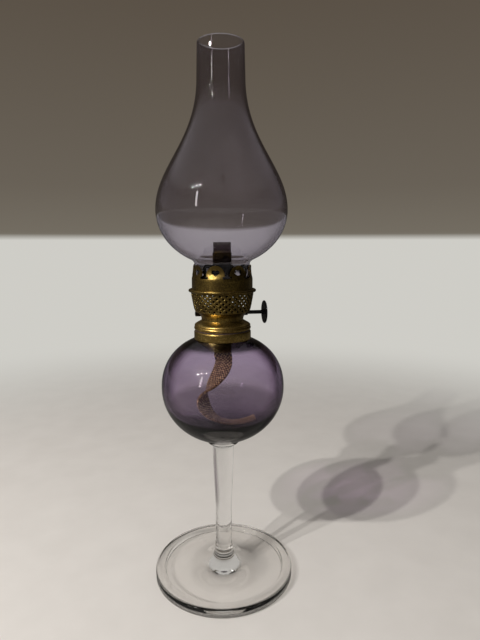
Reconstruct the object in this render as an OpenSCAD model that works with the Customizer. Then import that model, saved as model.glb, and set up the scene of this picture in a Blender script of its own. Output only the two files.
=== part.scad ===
// A kerosene lamp: a clear glass foot and stem, a globe-shaped glass font,
// a screw-in flat-wick burner with a pierced gallery, and a bulb-shaped chimney.
// Millimetres. The origin is on the table under the centre of the foot, +Z is up,
// and the spindle that winds the wick lies along +X, with its knob on that side.

/* [Foot] */
// Outer radius of the foot
foot_r = 51.5; // [46:0.1:58]
// Height of the raised rim
foot_rim_h = 7.4; // [6.4:0.1:10]
// Width of the raised rim
foot_rim_w = 7.6; // [5:0.1:12]
// Radius on the edges of the rim
foot_edge_r = 1.7; // [0.8:0.1:2.4]
// Height of the plate inside the rim
foot_plate_h = 4.8; // [3:0.1:5.4]
// Depth of the hollow under the foot
foot_hollow_h = 1.2; // [0.5:0.1:2]
// Width of the flat ring that the foot rests on
foot_rest_w = 6; // [3:0.1:9]
// Radius of the mound where it leaves the plate
foot_mound_r = 37; // [26:0.5:38]
// Height of the mound, where the stem starts
foot_mound_h = 14; // [10:0.5:18]

/* [Stem] */
// Radius of the stem where it leaves the mound
stem_base_r = 8; // [7:0.1:12]
// Radius of the stem at its thinnest place
stem_waist_r = 5.9; // [4:0.1:6.6]
// Height of the thinnest place above the start of the stem
stem_waist_h = 33; // [28:0.5:48]
// Radius of the stem at its top
stem_top_r = 7.7; // [6:0.1:9]
// Length of the stem
stem_len = 87.8; // [74:0.1:110]

/* [Merese] */
// Radius of the glass button between stem and font
merese_r = 11.6; // [10.4:0.1:14]
// Height from the top of the stem to the bottom of the font
merese_h = 4.2; // [3.6:0.1:9]

/* [Font] */
// Greatest outer radius of the globe
globe_r = 43.8; // [39:0.1:52]
// Height of the globe below its widest place
globe_low_h = 40.5; // [34:0.1:48]
// Height of the globe above its widest place, if it had no neck
globe_up_h = 38.3; // [34:0.1:48]
// Fullness of the globe's shoulder, where 2 is an ellipse
globe_fullness = 2.2; // [2:0.05:2.6]
// Wall of the globe at its side
globe_wall = 3; // [2:0.1:4.5]
// Thickness of the glass at the bottom of the font
globe_floor_t = 10; // [9:0.1:18]
// Outer radius of the glass neck that the collar is cemented to
neck_r = 18.2; // [17.9:0.1:18.8]
// Wall of the glass neck
neck_wall = 1.6; // [1.2:0.1:1.8]

/* [Collar] */
// Outer radius of the brass collar
collar_r = 20.1; // [19.9:0.1:22]
// Height of the collar
collar_h = 5.9; // [5:0.1:8]
// Wall of the collar
collar_t = 0.5; // [0.3:0.05:0.7]
// Radius of the collar's screwed bore
collar_bore_r = 15.2; // [14.8:0.1:15.6]
// Thickness of the plaster over the glass neck
cement_t = 0.8; // [0.5:0.1:1.5]

/* [Screw] */
// Length of the burner's screw
screw_len = 7; // [6:0.1:9]
// Running clearance between screw and collar, on the radius
screw_gap = 0.08; // [0.04:0.01:0.1]
// Thickness of the gasket under the burner
gasket_t = 0.8; // [0.5:0.1:1.5]
// Outer radius of the gasket
gasket_r = 19.35; // [17:0.05:19.8]

/* [Burner base] */
// Wall of the burner's pressed sheet
sheet_t = 0.5; // [0.3:0.05:0.6]
// Radius of the bead round the base
bead_r = 20.1; // [19:0.1:22]
// Height of the bead
bead_h = 2.6; // [2:0.1:4]
// Radius at the foot of the shoulder
shoulder_r = 19.8; // [18:0.1:20]
// Height of the shoulder
shoulder_h = 4.3; // [3:0.1:6]
// Radius of the burner's waist
waist_r = 14.7; // [13.8:0.05:15.4]
// Depth that the base reaches up into the basket
lap_h = 1.4; // [0.8:0.1:1.8]
// Thickness of the floor that closes the font
floor_t = 0.4; // [0.3:0.05:0.5]
// Radius of the vent in the floor
vent_r = 0.9; // [0.5:0.1:1.5]

/* [Air basket] */
// Radius where the basket's wall turns upright
basket_turn_r = 18.7; // [17.4:0.1:19.8]
// Height of that turn above the waist
basket_turn_h = 6; // [5:0.1:6.4]
// Radius at the top of the basket
basket_top_r = 21.5; // [20.6:0.1:23]
// Height of the basket
basket_h = 19.7; // [19.2:0.1:24]
// Radius of one air hole
air_hole_r = 0.75; // [0.5:0.05:1]
// Rows of air holes
air_rows = 7; // [3:1:7]
// Air holes in a row
air_count = 30; // [16:1:32]
// Distance from the turn up to the lowest row
air_row_start = 1.6; // [1.4:0.1:2]
// Distance between rows
air_row_step = 1.8; // [1.7:0.05:1.85]

/* [Gallery] */
// Radius of the rolled ring between basket and crown
ring_r = 23.65; // [22.4:0.05:26]
// Height of the rolled ring
ring_h = 1.9; // [1.4:0.1:3]
// Outer radius of the crown's plain band
band_r = 21.25; // [21:0.05:22.5]
// Height of the plain band
band_h = 8; // [6:0.1:10]
// Height of the crown above its band
leaf_h = 9; // [8:0.1:11]
// Radius of the leaves at their tips
leaf_tip_r = 20.1; // [20:0.05:20.8]
// Number of leaves
leaf_count = 8; // [8:1:9]
// Turn of the leaves about the lamp's axis, in degrees from the front
leaf_turn = -21; // [-22.5:0.5:22.5]
// Width of the gap between two leaves
leaf_gap_w = 3.4; // [2.4:0.1:4.2]
// Width of the flared foot of each gap
gap_foot_w = 6.6; // [5:0.1:7.4]
// Height of the flared foot of each gap
gap_foot_h = 1.7; // [1.2:0.1:2.2]
// Width of the heart-shaped hole in a leaf
heart_w = 5.6; // [4:0.1:6.4]
// Height of the heart-shaped hole
heart_h = 4.2; // [3:0.1:5]
// Height of the heart's point above the band
heart_z = 1.8; // [1.2:0.1:3]

/* [Diffuser] */
// Height of the chimney's seat above the ring
seat_h = 2.8; // [2:0.1:5]
// Thickness of the pierced plate that is the seat
seat_t = 0.6; // [0.4:0.05:1]
// Radius of one hole in the plate
seat_hole_r = 0.9; // [0.5:0.05:1.1]

/* [Wick and tube] */
// Width of the wick
wick_w = 12.4; // [10:0.1:14]
// Thickness of the wick
wick_t = 1.9; // [1.4:0.1:2.4]
// Clearance all round the wick in its tube
wick_gap = 0.15; // [0.1:0.05:0.3]
// Wall of the wick tube
tube_wall = 0.3; // [0.2:0.05:0.5]
// Height of the tube's mouth above the chimney's seat
tube_above_seat = 22.2; // [18:0.1:30]
// Length of the wick that shows above the tube
wick_show = 7.2; // [3:0.1:9]
// Distance from the tube's lower end down to the end of the straight wick
wick_below = 8.2; // [8:0.1:9]

/* [Winder] */
// Radius of the spindle
spindle_r = 1.35; // [0.9:0.05:1.4]
// Running clearance round the spindle, on the radius
spindle_gap = 0.05; // [0.02:0.01:0.1]
// Height of the spindle above the waist
spindle_h = 3.9; // [3.8:0.1:4.5]
// Distance from the middle of the wick to the spindle's plain end
spindle_left = 19; // [18.6:0.1:22]
// Distance from the middle of the wick to the knob
knob_x = 31.2; // [27:0.1:38]
// Radius of the knob
knob_r = 8.3; // [6:0.1:10]
// Thickness of the knob's rim
knob_t = 1.3; // [1:0.1:2]
// Thickness of the knob inside its rim
knob_web_t = 0.7; // [0.5:0.1:0.9]
// Radius of the knob's hub
hub_r = 1.9; // [1.6:0.05:2.4]
// Length of the hub on each side of the knob
hub_len = 2.1; // [1.5:0.1:3]
// Thickness of the hub's closed end
hub_cap_t = 0.6; // [0.4:0.1:1]
// Tip radius of the sprockets that grip the wick
sprocket_r = 3; // [2.6:0.1:3.1]
// Teeth on a sprocket
sprocket_teeth = 10; // [8:1:12]
// Thickness of a sprocket
sprocket_t = 1; // [0.6:0.1:1.4]
// Distance of each sprocket from the middle of the wick
sprocket_x = 3.2; // [2.2:0.1:4]
// Distance from the sprockets' tips to the wick
bite_gap = 0.1; // [0.05:0.05:0.2]
// Outer radius of the bushes that carry the spindle through the basket
bush_r = 2.1; // [1.8:0.05:2.2]
// Length of a bush
bush_len = 5; // [4.6:0.1:6]

/* [Chimney] */
// Outer radius of the chimney's foot, which stands in the crown
fitter_r = 19.25; // [18.6:0.05:19.3]
// Height from the seat to the widest place of the bulb
bulb_z = 50.5; // [46:0.5:60]
// Greatest outer radius of the bulb
bulb_r = 44.9; // [38:0.1:52]
// Half height of the bulb's lower part, if it were closed
bulb_low_h = 37.6; // [33:0.1:42]
// Height from the widest place to the start of the straight tube
bulb_up_h = 86; // [74:0.5:100]
// Outer radius of the straight tube at its lower end
flue_r = 16.1; // [14:0.1:20]
// Outer radius of the chimney's mouth
mouth_r = 15.6; // [13:0.1:20]
// Height of the straight tube
flue_h = 21.2; // [12:0.1:40]
// Wall of the chimney's glass
chimney_wall = 1.5; // [1:0.1:2.2]

/* [Hidden] */

$fn = 96;
curve_n = 18;
globe_n = 24;

// Heights above the table, from the foot up
stem_z = foot_mound_h;
merese_z = stem_z + stem_len;
globe_bottom = merese_z + merese_h;
globe_z = globe_bottom + globe_low_h;
collar_z = globe_z + globe_up_h * oval(collar_r - collar_t, globe_r, globe_fullness);
collar_top = collar_z + collar_h;
neck_top = collar_top - collar_t - cement_t;
base_z = collar_top + gasket_t;
shoulder_z = base_z + bead_h;
waist_z = shoulder_z + shoulder_h;
floor_z = waist_z;
turn_z = waist_z + basket_turn_h;
ring_z = waist_z + basket_h;
band_z = ring_z + ring_h;
leaf_z = band_z + band_h;
crown_top = leaf_z + leaf_h;
seat_z = band_z + seat_h;
tube_top = seat_z + tube_above_seat;
screw_z = base_z - screw_len;
tube_bottom = screw_z + tube_wall;
wick_top = tube_top + wick_show;
wick_bottom = tube_bottom - wick_below;
spindle_z = waist_z + spindle_h;
bulb_mid = seat_z + bulb_z;
flue_z = bulb_mid + bulb_up_h;
chimney_top = flue_z + flue_h;

// Radii and widths that follow from the fits
cavity_r = globe_r - globe_wall;
cavity_low_h = globe_low_h - globe_floor_t;
cavity_up_h = globe_up_h - globe_wall;
cavity_fullness = 2.4;
neck_bore_r = neck_r - neck_wall;
screw_r = collar_bore_r - screw_gap;
screw_bore_r = screw_r - sheet_t;
lap_r = waist_r - sheet_t;
lap_bore_r = lap_r - sheet_t;
band_bore_r = band_r - sheet_t;
tube_in_w = wick_w + 2 * wick_gap;
tube_in_t = wick_t + 2 * wick_gap;
tube_w = tube_in_w + 2 * tube_wall;
tube_t = tube_in_t + 2 * tube_wall;
spindle_y = wick_t / 2 + bite_gap + sprocket_r;
bearing_r = spindle_r + spindle_gap;
sprocket_root_r = sprocket_r - 0.9;
box_room = 0.4;
box_w = 2 * (sprocket_x + sprocket_t / 2 + box_room + sheet_t);
box_back = spindle_y + sprocket_r + box_room + sheet_t;
box_top = spindle_z + sprocket_r + box_room + sheet_t;
leaf_pitch = 360 / leaf_count;

// Half height of an oval of half height 1 at distance r from its axis
function oval(r, half_width, fullness) = pow(1 - pow(r / half_width, fullness), 1 / fullness);

// Points of a smooth curve between two ends, with one handle for each end
function curve(a, ha, hb, b, n) = [for (i = [0:n])
    let (t = i / n, s = 1 - t)
    s * s * s * a + 3 * s * s * t * ha + 3 * s * t * t * hb + t * t * t * b];

// Points of an arc from angle a to angle b
function arc(middle, r, a, b, n) = [for (i = [0:n])
    middle + r * [cos(a + (b - a) * i / n), sin(a + (b - a) * i / n)]];

// Points of a quarter oval, from angle a to angle b, rising when h is positive
function quarter(middle_z, w, h, fullness, a, b, n) = [for (i = [0:n])
    let (t = a + (b - a) * i / n)
    [w * pow(max(cos(t), 0), 2 / fullness), middle_z + h * pow(max(sin(t), 0), 2 / fullness)]];

// The angle at which a quarter oval is r from the axis
function quarter_angle(r, w, fullness) = acos(pow(r / w, fullness / 2));

function backwards(p) = [for (i = [len(p) - 1:-1:0]) p[i]];

// A line of points moved to its left by d
function moved(p, d) = [for (i = [0:len(p) - 1])
    let (along = p[min(i + 1, len(p) - 1)] - p[max(i - 1, 0)])
    p[i] + d * [-along[1], along[0]] / norm(along)];

module turned(profile) {
    rotate_extrude() polygon(profile);
}

module ring(r_out, r_in, z, h) {
    translate([0, 0, z]) difference() {
        cylinder(r = r_out, h = h);
        translate([0, 0, -h]) cylinder(r = r_in, h = 3 * h);
    }
}

// Flat oblong with round ends, as a wick tube is
module oblong(w, t) {
    union() {
        square([w - t, t], center = true);
        translate([(w - t) / 2, 0]) circle(d = t);
        translate([-(w - t) / 2, 0]) circle(d = t);
    }
}

module lying_rod(r, x0, x1) {
    translate([x0, spindle_y, spindle_z]) rotate([0, 90, 0]) cylinder(r = r, h = x1 - x0);
}

// Glass foot: a shallow dish with a raised rim and a mound that carries the stem
module foot() {
    rest_out = foot_r - foot_edge_r;
    rest_in = rest_out - foot_rest_w;
    rim_in = foot_r - foot_rim_w;
    top_edge_z = foot_rim_h - foot_edge_r;
    inner_edge_r = min(foot_edge_r, (foot_rim_h - foot_plate_h) * 0.6);
    color([0.86, 0.88, 0.87, 0.5]) turned(concat(
        curve([0, foot_hollow_h], [rest_in * 0.5, foot_hollow_h], [rest_in * 0.8, 0],
            [rest_in, 0], 12),
        arc([rest_out, foot_edge_r], foot_edge_r, -90, 0, 5),
        arc([foot_r - foot_edge_r, top_edge_z], foot_edge_r, 0, 90, 6),
        arc([rim_in + foot_edge_r, foot_rim_h - inner_edge_r], inner_edge_r, 90, 150, 4),
        [[rim_in, foot_plate_h]],
        curve([foot_mound_r, foot_plate_h], [foot_mound_r * 0.6, foot_plate_h],
            [stem_base_r + 5, foot_mound_h - (foot_mound_h - foot_plate_h) * 0.35],
            [stem_base_r, foot_mound_h], 12),
        [[0, foot_mound_h]]));
}

// Drawn glass stem with a waist
module stem() {
    waist = [stem_waist_r, stem_z + stem_waist_h];
    low = curve([stem_base_r, stem_z], [stem_waist_r + 1, stem_z + 2.2],
        waist - [0, stem_waist_h * 0.75], waist, curve_n);
    high = curve(waist, waist + [0, 14], [stem_top_r - 0.1, merese_z - 22],
        [stem_top_r, merese_z], curve_n);
    color([0.86, 0.88, 0.87, 0.5]) turned(concat(
        [[0, stem_z]], low, [for (i = [1:curve_n]) high[i]], [[0, merese_z]]));
}

// Glass button that spreads the load of the font, cut to the font's round bottom
module merese() {
    edge_r = 1.2;
    edge = [merese_r - edge_r, merese_z + merese_h * 0.8];
    flare_end = edge + edge_r * [cos(-50), sin(-50)];
    color([0.86, 0.88, 0.87, 0.5]) rotate_extrude() difference() {
        polygon(concat(
            [[0, merese_z]],
            curve([stem_top_r, merese_z], [stem_top_r + 0.5, merese_z + 0.8],
                flare_end - 1.5 * [sin(50), cos(50)], flare_end, 8),
            arc(edge, edge_r, -40, 60, 6),
            [[stem_top_r, globe_z], [0, globe_z]]));
        font_outline();
    }
}

// Outside of the font without its hollow, as half a section
module font_outline() {
    polygon(concat(
        backwards(quarter(globe_z, globe_r, -globe_low_h, 2, 0, 90, globe_n)),
        quarter(globe_z, globe_r, globe_up_h, globe_fullness, 0,
            quarter_angle(neck_r, globe_r, globe_fullness), globe_n),
        [[neck_r, neck_top], [0, neck_top]]));
}

// Hollow of the font with its neck, as half a section
module font_hollow() {
    polygon(concat(
        backwards(quarter(globe_z, cavity_r, -cavity_low_h, cavity_fullness, 0, 90, globe_n)),
        quarter(globe_z, cavity_r, cavity_up_h, globe_fullness, 0,
            quarter_angle(neck_bore_r, cavity_r, globe_fullness), globe_n),
        [[neck_bore_r, neck_top + 1], [0, neck_top + 1]]));
}

// Coloured glass globe that holds the fuel
module font() {
    color([0.36, 0.27, 0.42, 0.6]) rotate_extrude() difference() {
        font_outline();
        font_hollow();
    }
}

// Plaster that fills the collar round the glass neck
module collar_cement() {
    color([0.82, 0.79, 0.72]) rotate_extrude() difference() {
        translate([collar_bore_r + collar_t, collar_z])
            square([collar_r - collar_bore_r - 2 * collar_t, collar_h - collar_t]);
        difference() {
            font_outline();
            font_hollow();
        }
    }
}

// Brass collar: skirt, top and screwed bore in one spun piece
module collar() {
    edge_r = 0.9;
    color([0.68, 0.55, 0.24]) rotate_extrude() union() {
        polygon(concat(
            [[collar_r - collar_t, collar_z], [collar_r, collar_z]],
            arc([collar_r - edge_r, collar_top - edge_r], edge_r, 0, 90, 6),
            [[collar_bore_r, collar_top], [collar_bore_r, collar_top - collar_t],
                [collar_r - collar_t, collar_top - collar_t]]));
        translate([collar_bore_r, collar_top - screw_len])
            square([collar_t, screw_len]);
    }
}

// Leather washer between collar and burner
module burner_gasket() {
    color([0.16, 0.1, 0.06]) ring(gasket_r, collar_bore_r + 0.2, collar_top, gasket_t);
}

// Burner base: screw, bead and shoulder pressed from one sheet
module burner_base() {
    bead_mid = [bead_r - bead_h / 2, base_z + bead_h / 2];
    outside = concat(
        [[screw_r, screw_z], [screw_r, base_z]],
        arc(bead_mid, bead_h / 2, -90, 70, 10),
        [[shoulder_r, shoulder_z]],
        curve([shoulder_r, shoulder_z + 0.5], [shoulder_r - 0.2, shoulder_z + 1.9],
            [waist_r + 1.4, waist_z - 1.6], [waist_r, waist_z], 8),
        [[lap_r, waist_z], [lap_r, waist_z + lap_h]]);
    inside = [[lap_bore_r, waist_z + lap_h], [lap_bore_r, waist_z - 0.2],
        [shoulder_r - 1.6, shoulder_z + 1], [shoulder_r - 1, shoulder_z - 0.4],
        [shoulder_r - 1, base_z + sheet_t], [screw_bore_r, base_z + sheet_t],
        [screw_bore_r, screw_z]];
    color([0.68, 0.55, 0.24]) turned(concat(outside, inside));
}

// Floor of the burner, which keeps the flame's air apart from the fuel
module base_floor() {
    color([0.6, 0.5, 0.24]) difference() {
        translate([0, 0, floor_z]) cylinder(r = lap_bore_r, h = floor_t);
        translate([0, 0, floor_z - 1]) linear_extrude(floor_t + 2) oblong(tube_w, tube_t);
        translate([0, -lap_bore_r * 0.6, floor_z - 1]) cylinder(r = vent_r, h = floor_t + 2);
    }
}

// Outside of the basket's wall, from the waist up
function basket_outside() = concat(
    curve([waist_r, waist_z], [waist_r, waist_z + basket_turn_h * 0.4],
        [waist_r + 1.4, turn_z - 1.5], [basket_turn_r, turn_z], 10),
    [for (i = [1:10]) curve([basket_turn_r, turn_z], [basket_turn_r + 1, turn_z + 2.8],
        [basket_top_r - 0.9, ring_z - 5.4], [basket_top_r, ring_z], 10)[i]]);

// Basket that lets in the air, pierced in rows with each row half a step round
module air_basket() {
    color([0.62, 0.5, 0.22]) difference() {
        turned(concat(basket_outside(),
            backwards([for (p = basket_outside()) p - [sheet_t, 0]])));
        for (row = [0:air_rows - 1], i = [0:air_count - 1])
            rotate([0, 0, (i + (row % 2) / 2) * 360 / air_count])
                translate([0, 0, turn_z + air_row_start + row * air_row_step])
                    rotate([0, 90, 0])
                        translate([0, 0, basket_turn_r - 3])
                            cylinder(r = air_hole_r, h = basket_top_r - basket_turn_r + 6);
        lying_rod(bush_r, -basket_top_r, basket_top_r);
    }
}

// Rolled ring that joins basket and crown
module gallery_ring() {
    roll = ring_h / 2;
    color([0.72, 0.6, 0.3]) turned(concat(
        [[band_bore_r, ring_z], [ring_r - roll, ring_z]],
        arc([ring_r - roll, ring_z + roll], roll, -90, 90, 10),
        [[band_bore_r, ring_z + ring_h]]));
}

// Crown: a plain band that ends in round leaves, each with a heart-shaped hole
module gallery_crown() {
    wall = concat(
        [[band_r, band_z], [band_r, leaf_z - 1]],
        curve([band_r, leaf_z - 1], [band_r - 0.3, leaf_z + 2],
            [leaf_tip_r, leaf_z + 3], [leaf_tip_r, crown_top], 6));
    color([0.68, 0.55, 0.24]) difference() {
        turned(concat(wall, backwards([for (p = wall) p - [sheet_t, 0]])));
        for (i = [0:leaf_count - 1]) {
            rotate([0, 0, leaf_turn + (i + 0.5) * leaf_pitch - 90]) outwards() leaf_gap();
            rotate([0, 0, leaf_turn + i * leaf_pitch - 90]) outwards() heart();
        }
    }
}

// Cuts a shape drawn in the XZ plane outwards through the wall, along +X
module outwards() {
    rotate([90, 0, 90]) translate([0, 0, leaf_tip_r / 2])
        linear_extrude(leaf_tip_r) children();
}

// Gap between two leaves, with a flared foot that is round at both ends
module leaf_gap() {
    reach = band_r * sin(leaf_pitch / 2);
    leaf_r = reach - leaf_gap_w / 2;
    lobe_r = gap_foot_h / 2;
    difference() {
        translate([-reach, leaf_z + lobe_r]) square([2 * reach, leaf_h]);
        for (side = [-1, 1]) translate([side * reach, 0]) {
            translate([-leaf_r, leaf_z]) square([2 * leaf_r, leaf_h - leaf_r]);
            translate([0, crown_top - leaf_r]) circle(r = leaf_r);
        }
    }
    for (side = [-1, 1])
        translate([side * (gap_foot_w / 2 - lobe_r), leaf_z + lobe_r]) circle(r = lobe_r);
    translate([-gap_foot_w / 2 + lobe_r, leaf_z + lobe_r])
        square([gap_foot_w - 2 * lobe_r, lobe_r]);
}

// Heart made of two circles and a point
module heart() {
    lobe_r = heart_w * 0.27;
    lobe_x = heart_w / 2 - lobe_r;
    lobe_z = leaf_z + heart_z + heart_h - lobe_r;
    for (side = [-1, 1]) translate([side * lobe_x, lobe_z]) circle(r = lobe_r);
    polygon([[0, leaf_z + heart_z], [heart_w / 2 - lobe_r * 0.1, lobe_z - lobe_r * 0.3],
        [lobe_x, lobe_z + lobe_r * 0.2], [-lobe_x, lobe_z + lobe_r * 0.2],
        [-heart_w / 2 + lobe_r * 0.1, lobe_z - lobe_r * 0.3]]);
}

// Pierced plate that the chimney stands on and that steadies the wick tube
module diffuser() {
    rows = [[9.4, 14], [12.2, 20], [15, 26]];
    color([0.5, 0.42, 0.22]) difference() {
        translate([0, 0, seat_z - seat_t]) cylinder(r = band_bore_r, h = seat_t);
        translate([0, 0, seat_z - seat_t - 1]) {
            linear_extrude(seat_t + 2) oblong(tube_w, tube_t);
            for (row = rows, i = [0:row[1] - 1])
                rotate([0, 0, (i + 0.5) * 360 / row[1]]) translate([row[0], 0, 0])
                    cylinder(r = seat_hole_r, h = seat_t + 2);
        }
    }
}

// Flat tube that guides the wick, with two windows at the back for the sprockets
module wick_tube() {
    window_w = sprocket_t + 0.6;
    color([0.42, 0.34, 0.18]) translate([0, 0, tube_bottom]) difference() {
        linear_extrude(tube_top - tube_bottom) difference() {
            oblong(tube_w, tube_t);
            oblong(tube_in_w, tube_in_t);
        }
        for (side = [-1, 1])
            translate([side * sprocket_x - window_w / 2, 0,
                spindle_z - sprocket_r - tube_bottom + 0.3])
                cube([window_w, tube_t, 2 * sprocket_r - 0.6]);
    }
}

// Folded box at the back of the wick tube, which closes in the sprockets
module sprocket_box() {
    box_z = floor_z + floor_t;
    color([0.6, 0.5, 0.24]) difference() {
        translate([-box_w / 2, tube_t / 2, box_z])
            cube([box_w, box_back - tube_t / 2, box_top - box_z]);
        translate([-box_w / 2 + sheet_t, 0, box_z - 1])
            cube([box_w - 2 * sheet_t, box_back - sheet_t, box_top - box_z + 1 - sheet_t]);
        lying_rod(bearing_r, -box_w, box_w);
    }
}

// Bush that carries the spindle through the basket's wall
module bush(side) {
    wall_r = (waist_r + basket_turn_r) / 2;
    middle = sqrt(wall_r * wall_r - spindle_y * spindle_y);
    color([0.6, 0.5, 0.24]) difference() {
        lying_rod(bush_r, side * middle - bush_len / 2, side * middle + bush_len / 2);
        lying_rod(bearing_r, side * middle - bush_len, side * middle + bush_len);
    }
}

module spindle_gland() {
    bush(1);
}

module spindle_end_bush() {
    bush(-1);
}

// Steel spindle that turns in the two bushes and the box
module spindle() {
    color([0.1, 0.1, 0.1]) lying_rod(spindle_r, -spindle_left, knob_x + hub_len - hub_cap_t);
}

// Two toothed wheels on the spindle, which draw the wick up and down
module wick_sprockets() {
    color([0.35, 0.33, 0.3]) for (side = [-1, 1])
        translate([side * sprocket_x - sprocket_t / 2, spindle_y, spindle_z])
            rotate([0, 90, 0]) linear_extrude(sprocket_t) difference() {
                polygon([for (i = [0:2 * sprocket_teeth - 1])
                    let (a = i * 180 / sprocket_teeth,
                        r = i % 2 == 0 ? sprocket_r : sprocket_root_r)
                    r * [cos(a), sin(a)]]);
                circle(r = spindle_r);
            }
}

// Round knob with a raised rim
module knob_disc() {
    half = knob_t / 2;
    web = knob_web_t / 2;
    rim_w = 1.1;
    color([0.1, 0.1, 0.1]) translate([knob_x, spindle_y, spindle_z]) rotate([0, 90, 0])
        turned(concat(
            [[hub_r, -web], [knob_r - rim_w - half, -web], [knob_r - rim_w, -half]],
            arc([knob_r - half, 0], half, -90, 90, 8),
            [[knob_r - rim_w, half], [knob_r - rim_w - half, web], [hub_r, web]]));
}

// Hub that is riveted into the knob and closed over the spindle's end
module knob_hub() {
    bore_depth = 2 * hub_len - hub_cap_t;
    color([0.1, 0.1, 0.1]) translate([knob_x - hub_len, spindle_y, spindle_z])
        rotate([0, 90, 0]) turned(concat(
            [[spindle_r, 0], [hub_r, 0]],
            arc([hub_r - hub_cap_t, 2 * hub_len - hub_cap_t], hub_cap_t, 0, 90, 4),
            [[0, 2 * hub_len], [0, bore_depth], [spindle_r, bore_depth]]));
}

// Flat woven wick, the straight length that the tube guides
module wick() {
    color([0.3, 0.2, 0.13]) translate([0, 0, wick_bottom])
        linear_extrude(wick_top - wick_bottom) oblong(wick_w, wick_t);
}

// Route of the wick's loose tail from the straight wick down to the font's floor.
// Each row is x, y, height above the font's floor, and the turn of its flat side.
TAIL = [
    [0, 0, 54, 0],
    [0.6, 0, 51.5, -8],
    [0.5, 0, 46.8, -20],
    [-1.4, -0.2, 42, -33],
    [-4.6, -0.6, 37.1, -50],
    [-8.3, -1, 32.4, -72],
    [-11.6, -1.6, 28.4, -102],
    [-13.9, -2.2, 24.8, -122],
    [-14.8, -2.8, 20.8, -135],
    [-13.6, -3.4, 16.8, -132],
    [-10.8, -4, 12.6, -124],
    [-6.6, -4.4, 8.6, -110],
    [-1.2, -4.7, 5.2, -98],
    [5, -4.9, 3.2, -92],
    [11.4, -5.1, 2.9, -90],
    [17.6, -5.5, 4.3, -90],
    [23, -6, 6.8, -90]];
tail_steps = 3;
font_floor = globe_bottom + globe_floor_t;

// The route starts at the straight wick's end and then keeps to the rows above
tail_rows = concat(
    [[0, 0, wick_bottom + 4, 0], [0, 0, wick_bottom, 0]],
    [for (p = TAIL) if (p[2] + font_floor < wick_bottom - 1.5)
        [p[0], p[1], p[2] + font_floor, p[3]]]);
tail_last = len(tail_rows) - 1;
function tail_row(i) = i > tail_last
    ? 2 * tail_rows[tail_last] - tail_rows[tail_last - 1] : tail_rows[i];

// A smooth line through the rows
tail_line = [for (i = [1:tail_last - 1], k = [0:tail_steps - 1])
    let (a = tail_row(i - 1), b = tail_row(i), c = tail_row(i + 1), d = tail_row(i + 2),
        t = k / tail_steps)
    b + (c - a) * t / 2 + (2 * a - 5 * b + 4 * c - d) * t * t / 2
        + (3 * b - a - 3 * c + d) * t * t * t / 2];
tail_path = concat(tail_line, [tail_rows[tail_last]]);
tail_n = len(tail_path);
function place(p) = [p[0], p[1], p[2]];
function unit(v) = v / norm(v);

// The tail's direction, flat side and four corners at one place on the line
function tail_along(i) = i == 0 ? [0, 0, -1]
    : unit(place(tail_path[min(i + 1, tail_n - 1)]) - place(tail_path[i - 1]));
function tail_across(i) =
    let (a = tail_path[i][3], w = [cos(a), sin(a), 0], t = tail_along(i))
    unit(w - (w * t) * t);
function tail_corners(i) =
    let (across = tail_across(i) * wick_w / 2,
        through = cross(tail_along(i), tail_across(i)) * wick_t / 2,
        middle = place(tail_path[i]))
    [middle - across - through, middle + across - through,
        middle + across + through, middle - across + through];

// Loose tail of the wick, a ribbon that twists and then lies in the font
module wick_tail() {
    color([0.42, 0.3, 0.2]) polyhedron(
        points = [for (i = [0:tail_n - 1]) each tail_corners(i)],
        faces = concat(
            [[0, 1, 2, 3]],
            [for (i = [0:tail_n - 2], k = [0:3])
                let (a = 4 * i + k, b = 4 * i + (k + 1) % 4)
                each [[a, b + 4, b], [a, a + 4, b + 4]]],
            [[for (k = [3:-1:0]) 4 * (tail_n - 1) + k]]));
}

// Outside of the chimney from its foot to its mouth
function chimney_outside() =
    let (join = quarter_angle(fitter_r, bulb_r, 2),
        corner = [fitter_r, bulb_mid - bulb_low_h * sin(join)],
        spread = quarter_angle(fitter_r + 3, bulb_r, 2),
        low = quarter(bulb_mid, bulb_r, -bulb_low_h, 2, 0, spread, curve_n),
        start = low[curve_n])
    concat(
        [[fitter_r, seat_z]],
        curve(corner - [0, 2], corner - [0, 0.7], corner + (start - corner) * 0.3, start, 6),
        [for (i = [curve_n - 1:-1:0]) low[i]],
        [for (i = [1:28]) curve([bulb_r, bulb_mid], [bulb_r, bulb_mid + bulb_up_h * 0.33],
            [flue_r, flue_z - bulb_up_h * 0.476], [flue_r, flue_z], 28)[i]],
        [[mouth_r, chimney_top - chimney_wall / 2]]);

// Chimney: a foot that stands in the crown, a bulb and a straight mouth
module chimney() {
    color([0.6, 0.57, 0.62, 0.4]) turned(concat(
        chimney_outside(),
        arc([mouth_r - chimney_wall / 2, chimney_top - chimney_wall / 2],
            chimney_wall / 2, 20, 160, 5),
        backwards(moved(chimney_outside(), chimney_wall))));
}

foot();
stem();
merese();
font();
collar_cement();
collar();
burner_gasket();
burner_base();
base_floor();
air_basket();
gallery_ring();
gallery_crown();
diffuser();
wick_tube();
sprocket_box();
spindle_gland();
spindle_end_bush();
spindle();
wick_sprockets();
knob_disc();
knob_hub();
wick();
wick_tail();
chimney();
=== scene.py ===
# %% [markdown]
# A kerosene lamp with a clear glass foot, a violet glass globe for the fuel, a brass
# burner that winds a flat wick, and a glass chimney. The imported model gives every
# size and place, and this script gives the lamp its surfaces: poured glass, aged
# brass, blackened steel and woven cotton.

import math

import bmesh
import bpy
from mathutils import Matrix, Vector


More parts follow.
